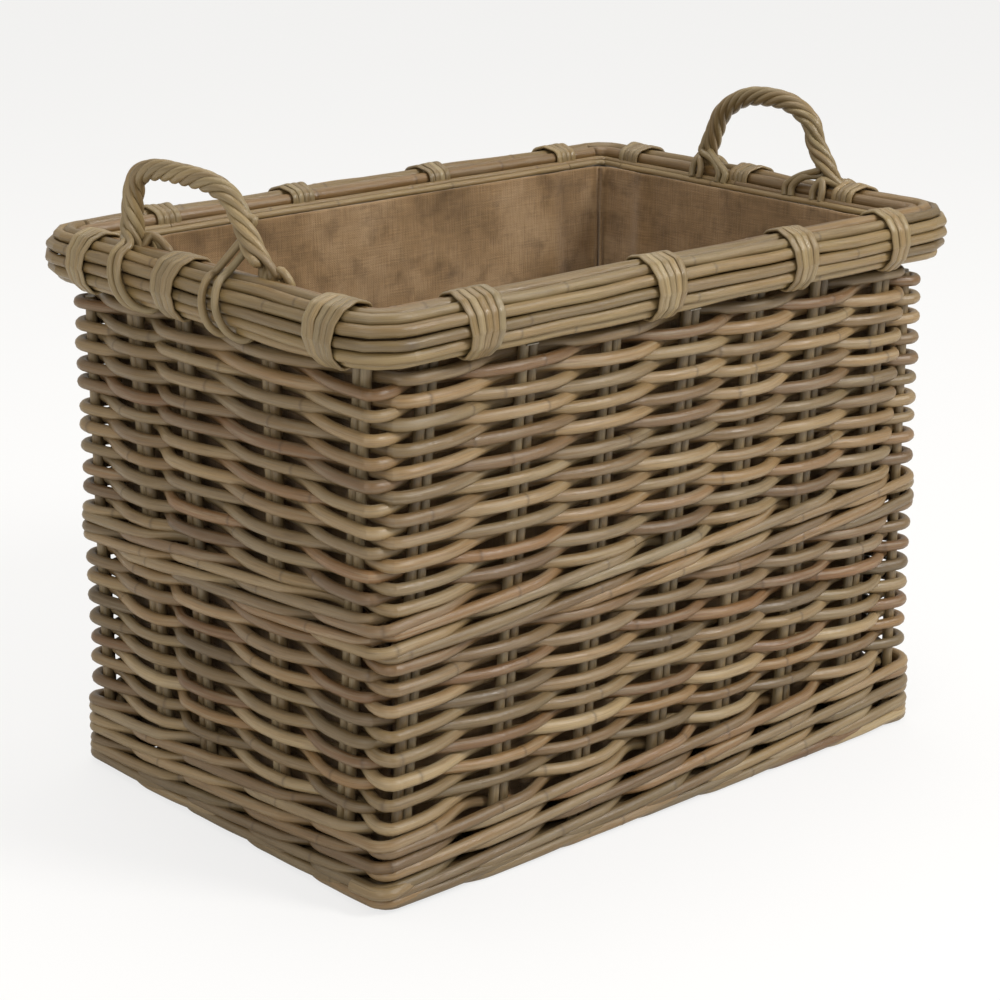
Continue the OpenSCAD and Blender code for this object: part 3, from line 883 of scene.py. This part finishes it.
def rattan(name, colours, grey=0.45, shade_low=0.66, shade_high=1.2, gloss=0.34):
    """Weathered rattan skin: each rod its own tone, streaks along the grain, grey patches, dark rings."""
    n = Nodes(name)
    look = n.node("SeparateXYZ", {0: n.attribute("look").outputs["Vector"]})
    tone, shade, knot = look.outputs
    grain = n.attribute("grain").outputs["Vector"]
    stops = [(i / (len(colours) - 1), srgb(*c)) for i, c in enumerate(colours)]
    base = n.ramp(tone, stops)
    drift = n.noise(n.stretch(grain, (9, 0.35, 0.35)), 1.0, 3.0, 0.6)
    base = n.mix(n.spread(drift, 0.35, 0.7, 0.0, 0.8), base, n.mix(0.6, base, srgb(118, 90, 56)))
    patches = n.noise(n.stretch(grain, (16, 1.6, 1.6), (3, 1, 2)), 1.0, 4.0, 0.62)
    base = n.mix(n.spread(patches, 0.48, 0.66, 0.0, grey), base, srgb(148, 136, 114))
    dark = n.noise(n.stretch(grain, (22, 1.3, 1.3), (7, 5, 1)), 1.0, 4.0, 0.6)
    base = n.mix(n.spread(dark, 0.56, 0.74, 0.0, 0.4), base, srgb(66, 47, 27))
    fibre = n.noise(n.stretch(grain, (26, 9, 9)), 1.0, 3.0, 0.65)
    level = n.math("MULTIPLY", n.spread(shade, 0, 1, shade_low, shade_high), n.spread(fibre, 0.28, 0.72, 0.72, 1.2))
    level = n.node("CombineXYZ", {0: level, 1: level, 2: level}).outputs[0]
    base = n.mix(1.0, base, level, "MULTIPLY")
    base = n.mix(n.math("MULTIPLY", knot, 0.45), base, srgb(58, 41, 24))
    rough = n.spread(patches, 0.35, 0.7, gloss - 0.06, gloss + 0.2)
    fine = n.noise(n.stretch(grain, (60, 16, 16)), 1.0, 2.0, 0.6)
    rise = n.math("ADD", n.math("MULTIPLY", fibre, 0.6), n.math("MULTIPLY", fine, 0.4))
    return n.set(Base_Color=base, Roughness=rough, Normal=n.bump(rise, 0.0006, 0.55), Specular_IOR_Level=0.6)


# Tones of the rods, as display colours
RODS = [(98, 82, 56), (126, 106, 72), (144, 124, 90), (120, 93, 58), (156, 138, 104), (112, 79, 48), (134, 116, 82)]
STAKES = [(128, 112, 82), (144, 127, 96), (114, 97, 68), (132, 112, 78)]
RIM_RODS = [(112, 93, 58), (131, 112, 74), (108, 82, 49), (140, 121, 84), (123, 103, 66)]
CANES = [(128, 110, 74), (140, 122, 86), (118, 99, 64), (146, 131, 98)]
HANDLES = [(136, 120, 84), (148, 131, 94), (126, 107, 72), (142, 124, 87)]


def make_materials():
    m = {}
    m["weave"] = rattan("rattan_weave", RODS)
    m["wale"] = rattan("rattan_wale", RODS[1:] + RODS[:1])
    m["stake"] = rattan("rattan_stake", STAKES, 0.5)
    m["rim"] = rattan("rattan_rim", RIM_RODS, 0.25, 0.72, 1.14)
    m["cane"] = rattan("split_cane", CANES, 0.3, 0.8, 1.15, 0.3)
    m["handle"] = rattan("rattan_handle", HANDLES, 0.25, 0.82, 1.1)
    m["core"] = rattan("rattan_core", [(92, 72, 46), (80, 62, 38)], 0.1)
    m["cloth"] = hessian("hessian_cloth")
    m["wire"] = pin_wire("pin_wire")
    return m


def hessian(name):
    """Coarse jute cloth: crossing threads of uneven thickness, with soft brown mottling."""
    n = Nodes(name)
    place = n.attribute("cloth").outputs["Vector"]
    axes = n.node("SeparateXYZ", {0: place})
    pitch = 0.0017
    slub_a = n.noise(n.stretch(place, (40, 700, 1)), 1.0, 2.0, 0.5)
    slub_b = n.noise(n.stretch(place, (700, 40, 1)), 1.0, 2.0, 0.5)
    warp = n.math("SINE", n.math("MULTIPLY", axes.outputs[0], 2 * math.pi / pitch))
    weft = n.math("SINE", n.math("MULTIPLY", axes.outputs[1], 2 * math.pi / pitch))
    cross = n.math("MULTIPLY", warp, weft)
    thread = n.math("ADD", n.math("MULTIPLY", cross, 0.3), n.math("ADD", slub_a, slub_b))
    patch = n.noise(place, 9.0, 4.0, 0.62)
    cloud = n.noise(place, 34.0, 4.0, 0.6)
    stops = [(0, srgb(108, 84, 54)), (0.5, srgb(146, 118, 84)), (1, srgb(172, 145, 112))]
    base = n.ramp(n.spread(patch, 0.3, 0.7), stops)
    base = n.mix(n.spread(cloud, 0.5, 0.72, 0.0, 0.6), base, srgb(88, 66, 42))
    level = n.spread(thread, 0.55, 1.45, 0.72, 1.2)
    level = n.node("CombineXYZ", {0: level, 1: level, 2: level}).outputs[0]
    base = n.mix(1.0, base, level, "MULTIPLY")
    bump = n.bump(thread, 0.0009, 0.7)
    return n.set(Base_Color=base, Roughness=0.92, Normal=bump, Sheen_Weight=0.25, Specular_IOR_Level=0.2)


def pin_wire(name):
    n = Nodes(name)
    place = n.node("TexCoord").outputs["Object"]
    tarnish = n.noise(place, 900.0, 3.0)
    base = n.ramp(tarnish, [(0.3, srgb(190, 186, 176)), (0.7, srgb(140, 132, 118))])
    return n.set(Base_Color=base, Metallic=1.0, Roughness=n.spread(tarnish, 0.3, 0.7, 0.25, 0.5))


# ---------------------------------------------------------------- liner


def cloth_mesh(name, points, place, rows, cols, closed):
    """A cloth of rows by cols points, and each point's place on the flat cloth."""
    faces = []
    for i in range(rows - 1):
        for j in range(cols if closed else cols - 1):
            k = (j + 1) % cols
            faces.append((i * cols + j, i * cols + k, (i + 1) * cols + k, (i + 1) * cols + j))
    mesh = bpy.data.meshes.new(name)
    mesh.from_pydata((points * MM).tolist(), [], faces)
    layer = mesh.attributes.new("cloth", "FLOAT_VECTOR", "POINT")
    layer.data.foreach_set("vector", (place * MM).ravel().astype(np.float32))
    mesh.polygons.foreach_set("use_smooth", np.ones(len(faces), bool))
    return mesh


def thicken(obj, thick):
    solid = obj.modifiers.new("thickness", "SOLIDIFY")
    solid.thickness = thick * MM
    solid.offset = 0
    solid.use_rim = True


LINER_U = -15.1
CLOTH_T, HEM_T = 1.2, 0.9
# How far the cloth reaches above the CAD liner, up under the rod it hangs from
TUCK = 4.5
# Vertical folds of the liner: the part of the line, the place along that part, the depth and the half width
FOLDS = [
    *[(3, 0.30, 9, 9), (3, 0.80, 7, 6), (2, 0.12, 5, 14), (2, 0.86, 6, 10), (4, 0.10, 5, 12)],
    *[(4, 0.52, 3, 20), (4, 0.93, 6, 9), (5, 0.5, 8, 9), (6, 0.3, 4, 16), (6, 0.85, 4, 12)],
    *[(7, 0.5, 8, 9), (0, 0.06, 5, 10), (0, 0.45, 3, 18), (0, 0.9, 5, 10), (1, 0.5, 7, 9)],
]


def liner_offset(s, z):
    """The offset of the cloth, which hangs in from the wall in folds and waves."""
    rng = np.random.default_rng(5)
    top = span("liner_walls", 2)[1]
    down = np.clip((top - z) / 120, 0, 1)
    sag = np.zeros_like(s)
    for part, place, depth, wide in FOLDS:
        centre = LINER.starts[part] + place * (LINER.ends[part] - LINER.starts[part])
        centre = centre + rng.uniform(-4, 4) * (top - z) / 100
        away = (s - centre + LINER.length / 2) % LINER.length - LINER.length / 2
        sag = sag + depth * np.exp(-((away / wide) ** 2)) * (0.35 + 0.65 * down)
    for k in range(5):
        wave = rng.integers(3, 17)
        deep = rng.uniform(0.5, 1.5)
        turn = 2 * math.pi * wave * s / LINER.length + z / rng.uniform(60, 160)
        sag = sag + deep * down * (1 + np.sin(turn))
    return LINER_U - sag


def liner_walls(material):
    low, high = span("liner_walls", 2)
    cols, rows = 620, 78
    s = np.linspace(0, LINER.length, cols, endpoint=False)
    z = np.linspace(low + 1, high + TUCK, rows)
    grid_s, grid_z = np.meshgrid(s, z)
    u = liner_offset(grid_s, grid_z).ravel()
    points, _ = LINER.at(grid_s.ravel(), u, grid_z.ravel())
    place = np.column_stack([grid_s.ravel(), grid_z.ravel(), np.zeros(cols * rows)])
    mesh = cloth_mesh("liner_cloth", points, place, rows, cols, True)
    obj = piece("liner_cloth", mesh, material, ["liner_walls"])
    thicken(obj, CLOTH_T)
    hem = liner_hem(material, s)


def liner_hem(material, s):
    low, high = span("liner_hem", 2)
    rows = 12
    z = np.linspace(low, high + TUCK, rows)
    grid_s, grid_z = np.meshgrid(s, z)
    u = (liner_offset(grid_s, grid_z) + 0.3 - 1.2 * np.clip((grid_z - low) / 16, 0, 1)).ravel()
    points, _ = LINER.at(grid_s.ravel(), u, grid_z.ravel())
    place = np.column_stack([grid_s.ravel(), grid_z.ravel(), np.zeros(len(s) * rows)])
    mesh = cloth_mesh("liner_hem_band", points, place, rows, len(s), True)
    obj = piece("liner_hem_band", mesh, material, ["liner_hem"])
    thicken(obj, HEM_T)
    return obj


def liner_floor(material):
    (x0, x1), (y0, y1) = span("liner_floor", 0), span("liner_floor", 1)
    z = middle("liner_floor", 2)
    cols, rows, over = 140, 90, 0.5
    gx, gy = np.meshgrid(np.linspace(x0 - over, x1 + over, cols), np.linspace(y0 - over, y1 + over, rows))
    wave = 0.9 * np.sin(gx / 37 + gy / 61) + 0.7 * np.sin(gx / 23 - gy / 41 + 1) + 1.6
    points = np.column_stack([gx.ravel(), gy.ravel(), z + wave.ravel()])
    place = np.column_stack([gx.ravel() + 2000, gy.ravel() + 900, np.zeros(cols * rows)])
    mesh = cloth_mesh("liner_base", points, place, rows, cols, False)
    obj = piece("liner_base", mesh, material, ["liner_floor"])
    thicken(obj, CLOTH_T)


# ---------------------------------------------------------------- camera, light, floor


def aim(obj, target):
    obj.rotation_mode = "QUATERNION"
    obj.rotation_quaternion = (Vector(target) - obj.location).to_track_quat("-Z", "Y")


def make_camera():
    """The photograph's view: the angle round the basket, the height, and the distance."""
    turn, climb, away = math.radians(-41.217), math.radians(17.3), 2.363
    target = Vector((0, 0, 0.22725))
    data = bpy.data.cameras.new("camera")
    data.sensor_width = 36
    data.lens = 95.74
    data.shift_x = -0.006
    camera = bpy.data.objects.new("camera", data)
    back = Vector((math.sin(turn) * math.cos(climb), -math.cos(turn) * math.cos(climb), math.sin(climb)))
    camera.location = target + back * away
    aim(camera, target)
    bpy.context.scene.collection.objects.link(camera)
    bpy.context.scene.camera = camera


def make_light(name, location, size, power, target=(0, 0, 0.25)):
    data = bpy.data.lights.new(name, "AREA")
    data.shape = "DISK"
    data.size = size
    data.energy = power
    data.color = (1.0, 0.975, 0.93)
    obj = bpy.data.objects.new(name, data)
    obj.location = location
    aim(obj, target)
    bpy.context.scene.collection.objects.link(obj)


def white_to_camera(tree, lit, blank, kind, seen=None):
    """The shader lit, but seen by the camera as the plain white blank where seen is 1."""
    share = tree.nodes.new("ShaderNodeLightPath").outputs["Is Camera Ray"]
    mix = tree.nodes.new("ShaderNodeMixShader")
    if seen is not None:
        both = tree.nodes.new("ShaderNodeMath")
        both.operation = "MULTIPLY"
        tree.links.new(share, both.inputs[0])
        tree.links.new(seen, both.inputs[1])
        share = both.outputs[0]
    tree.links.new(share, mix.inputs[0])
    tree.links.new(lit.outputs[0], mix.inputs[1])
    tree.links.new(blank.outputs[0], mix.inputs[2])
    tree.links.new(mix.outputs[0], tree.nodes[kind].inputs["Surface"])


def make_world(strength):
    world = bpy.data.worlds.new("studio")
    world.use_nodes = True
    tree = world.node_tree
    lit = tree.nodes["Background"]
    lit.inputs[0].default_value = (1.0, 0.955, 0.87, 1)
    lit.inputs[1].default_value = strength
    blank = tree.nodes.new("ShaderNodeBackground")
    blank.inputs[0].default_value = (1.0, 1.0, 1.0, 1)
    white_to_camera(tree, lit, blank, "World Output")
    bpy.context.scene.world = world


def make_floor(half):
    mesh = bpy.data.meshes.new("studio_floor")
    mesh.from_pydata([(-half, -half, 0), (half, -half, 0), (half, half, 0), (-half, half, 0)], [], [(0, 1, 2, 3)])
    floor = bpy.data.objects.new("studio_floor", mesh)
    n = Nodes("studio_floor")
    place = n.node("TexCoord").outputs["Object"]
    speck = n.noise(place, 3.0)
    mesh.materials.append(n.set(Base_Color=n.ramp(speck, [(0, (0.8,) * 3), (1, (0.82,) * 3)]), Roughness=0.9))
    axes = n.node("SeparateXYZ", {0: place})
    in_from_wall, whiteness = 12, 0.75
    past_x = n.math("GREATER_THAN", n.math("ABSOLUTE", axes.outputs[0]), (HALF_L - in_from_wall) * MM)
    past_y = n.math("GREATER_THAN", n.math("ABSOLUTE", axes.outputs[1]), (HALF_W - in_from_wall) * MM)
    blank = n.node("Emission", {"Color": (1.0, 1.0, 1.0, 1), "Strength": 1.0})
    # Nearly white, with a faint shadow round the basket; under the basket the ground stays dark
    seen = n.math("MULTIPLY", n.math("MAXIMUM", past_x, past_y), whiteness)
    white_to_camera(n.tree, n.shader, blank, n.output.name, seen)
    bpy.context.scene.collection.objects.link(floor)


def make_studio():
    bpy.context.scene.view_settings.view_transform = "Standard"
    make_world(0.62)
    make_light("key", (1.2, -2.6, 2.6), 1.1, 92)
    make_light("fill", (-2.6, -1.2, 1.4), 1.6, 16)
    make_light("top", (0.2, 0.6, 3.0), 2.0, 30)
    make_floor(16.0)


# ---------------------------------------------------------------- the basket


def add_bundles(bundles, prefix, material, node):
    for name, bundle in bundles.items():
        if bundle.count:
            label = f"{prefix}_{name}"
            piece(label, bundle.mesh(label), material, [node.format(name)])


def build_basket():
    m = make_materials()
    add_bundles(weave_rows(UPPER_ROWS, 0, 1000), "woven_upper", m["weave"], "upper_weave_{}")
    add_bundles(weave_rows(LOWER_ROWS, 0, 2000), "woven_lower", m["weave"], "lower_weave_{}")
    middle_wale = wale_rows(MIDDLE_WALE_ROWS, 3000, WEAVE_OFF + 1)
    add_bundles(middle_wale, "waled_middle", m["wale"], "middle_wale_{}")
    add_bundles(wale_rows(BASE_WALE_ROWS, 4000, BASE_OFF), "waled_base", m["wale"], "base_wale_{}")
    foot = foot_rods(5000)
    piece("foot_plait", foot.mesh("foot_plait"), m["wale"], ["foot_border"])
    add_bundles(stake_bundles(6000), "stake_rods", m["stake"], "stakes_{}")
    floor = floor_bundle(7000)
    piece("floor_weave", floor.mesh("floor_weave"), m["wale"], ["base_weave_under", "base_weave_over"])
    add_bundles(rim_bundles(8000), "rim_roll", m["rim"], "rim_rods_{}")
    add_bundles(binding_bundles(9000), "cane_binding", m["cane"], "rim_bindings_{}")
    for side, part, feet, seed in (("left", LEFT, LEFT_FEET, 9500), ("right", RIGHT, RIGHT_FEET, 9600)):
        node, label = f"handle_{side}", f"twisted_handle_{side}"
        rope = handle_bundle(side, node, part, feet, seed)
        piece(label, rope.mesh(label), m["handle"], [node, f"{node}_lashings"])
    liner_walls(m["cloth"])
    liner_floor(m["cloth"])
    for node, key in (("base_sticks", "stake"), ("rim_core_rods", "core"), ("rim_pins", "wire")):
        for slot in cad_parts[node].material_slots:
            slot.material = m[key]


make_camera()
make_studio()
build_basket()
